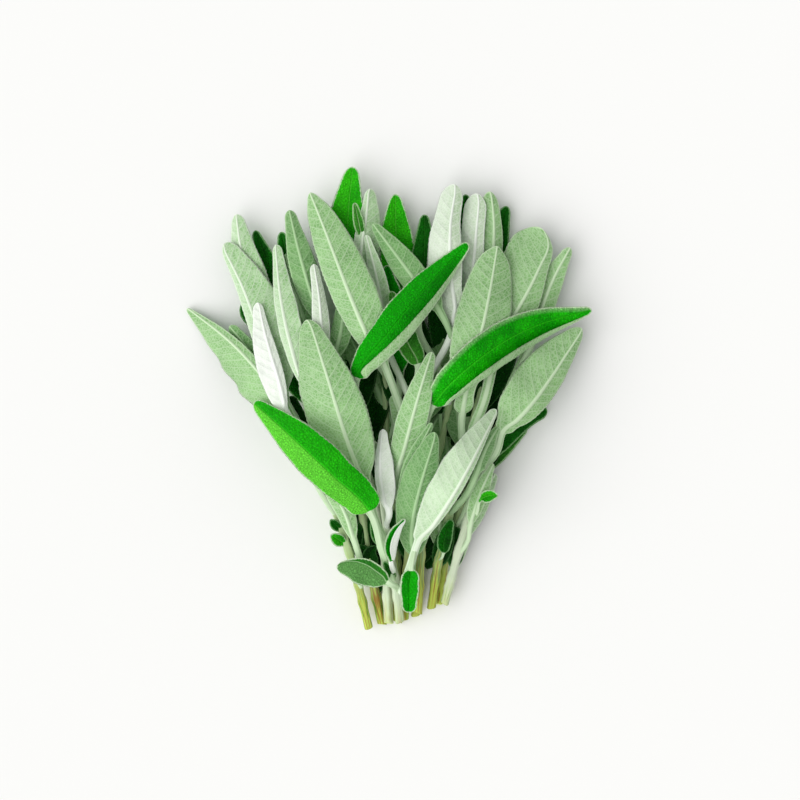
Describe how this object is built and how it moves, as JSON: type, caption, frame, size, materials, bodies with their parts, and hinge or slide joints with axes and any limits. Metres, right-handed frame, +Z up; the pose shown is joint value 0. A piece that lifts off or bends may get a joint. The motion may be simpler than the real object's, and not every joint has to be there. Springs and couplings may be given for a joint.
{
  "type": "sage bunch",
  "caption": "Loose bunch of fresh cut culinary sage lying flat: woody stems gathered at the cut ends, long stalked leaves fanning out.",
  "frame": {"origin": "centre of the bunch's outline in plan, on the surface that it lies on", "axes": "+Z up, away from that surface; +Y from the cut ends towards the leaf tips; +X across the fan, to the right when seen from above with the tips up"},
  "size_m": [0.1818, 0.2066, 0.0476],
  "materials": {
    "leaf_upper_side": "upper side of a sage leaf: saturated green, finely pebbled, soft sheen from short hairs",
    "leaf_underside": "underside of a sage leaf: pale grey-green felt of hairs over a raised net of whitish veins",
    "stem_skin": "young sage stem: yellow-green skin, squarish, with ochre streaks near the cut and a pale bloom of hairs higher up"
  },
  "bodies": {
    "root": {"stem_back_centre": "stem_skin", "leaf_back_centre_top_broad": "leaf_upper_side", "leaf_back_centre_crown": "leaf_upper_side", "leaf_back_centre_crown_side": "leaf_underside", "leaf_back_centre_inner": "leaf_upper_side", "stem_back_left": "stem_skin", "leaf_back_left_high": "leaf_upper_side", "leaf_back_left_high_inner": "leaf_upper_side", "leaf_back_left_low": "leaf_upper_side", "leaf_back_left_middle": "leaf_underside", "stem_back_right": "stem_skin", "leaf_back_right_inner": "leaf_upper_side", "leaf_back_right_outer": "leaf_upper_side", "leaf_back_right_high": "leaf_underside", "leaf_back_right_straight": "leaf_underside", "stem_far_right_back": "stem_skin", "leaf_far_right_back_low": "leaf_upper_side", "leaf_far_right_back_high": "leaf_underside", "leaf_far_right_back_top": "leaf_underside", "stem_far_left": "stem_skin", "leaf_far_left_top": "leaf_underside", "leaf_far_left_side": "leaf_underside", "leaf_far_left_long": "leaf_underside", "leaf_far_left_spread": "leaf_underside", "leaf_far_left_low": "leaf_underside", "stem_left": "stem_skin", "leaf_left_high": "leaf_underside", "leaf_left_inner": "leaf_underside", "leaf_left_narrow": "leaf_underside", "leaf_left_middle": "leaf_underside", "leaf_left_outer": "leaf_underside", "stem_centre": "stem_skin", "leaf_centre_narrow": "leaf_underside", "leaf_centre_folded": "leaf_upper_side", "leaf_centre_high": "leaf_underside", "leaf_centre_crossing": "leaf_underside", "leaf_centre_broad": "leaf_underside", "stem_far_right": "stem_skin", "leaf_far_right_broad": "leaf_underside", "leaf_far_right_bud_leaf": "leaf_upper_side", "leaf_far_right_low": "leaf_underside", "stem_right": "stem_skin", "leaf_right_outer": "leaf_underside", "leaf_right_broad": "leaf_underside", "leaf_right_low": "leaf_underside", "stem_front_right": "stem_skin", "leaf_front_right_arching": "leaf_upper_side", "leaf_front_right_middle": "leaf_underside", "leaf_front_right_narrow": "leaf_underside", "leaf_front_right_bud_leaf": "leaf_upper_side", "leaf_front_right_low": "leaf_underside", "leaf_front_hanging": "leaf_upper_side", "stem_front": "stem_skin", "leaf_front_slanting": "leaf_upper_side", "leaf_front_pointed": "leaf_underside", "leaf_front_broad": "leaf_underside", "leaf_front_spread": "leaf_upper_side", "leaf_front_curled": "leaf_upper_side", "leaf_front_slender": "leaf_underside", "leaf_front_cross": "leaf_upper_side"}
  },
  "joints": []
}
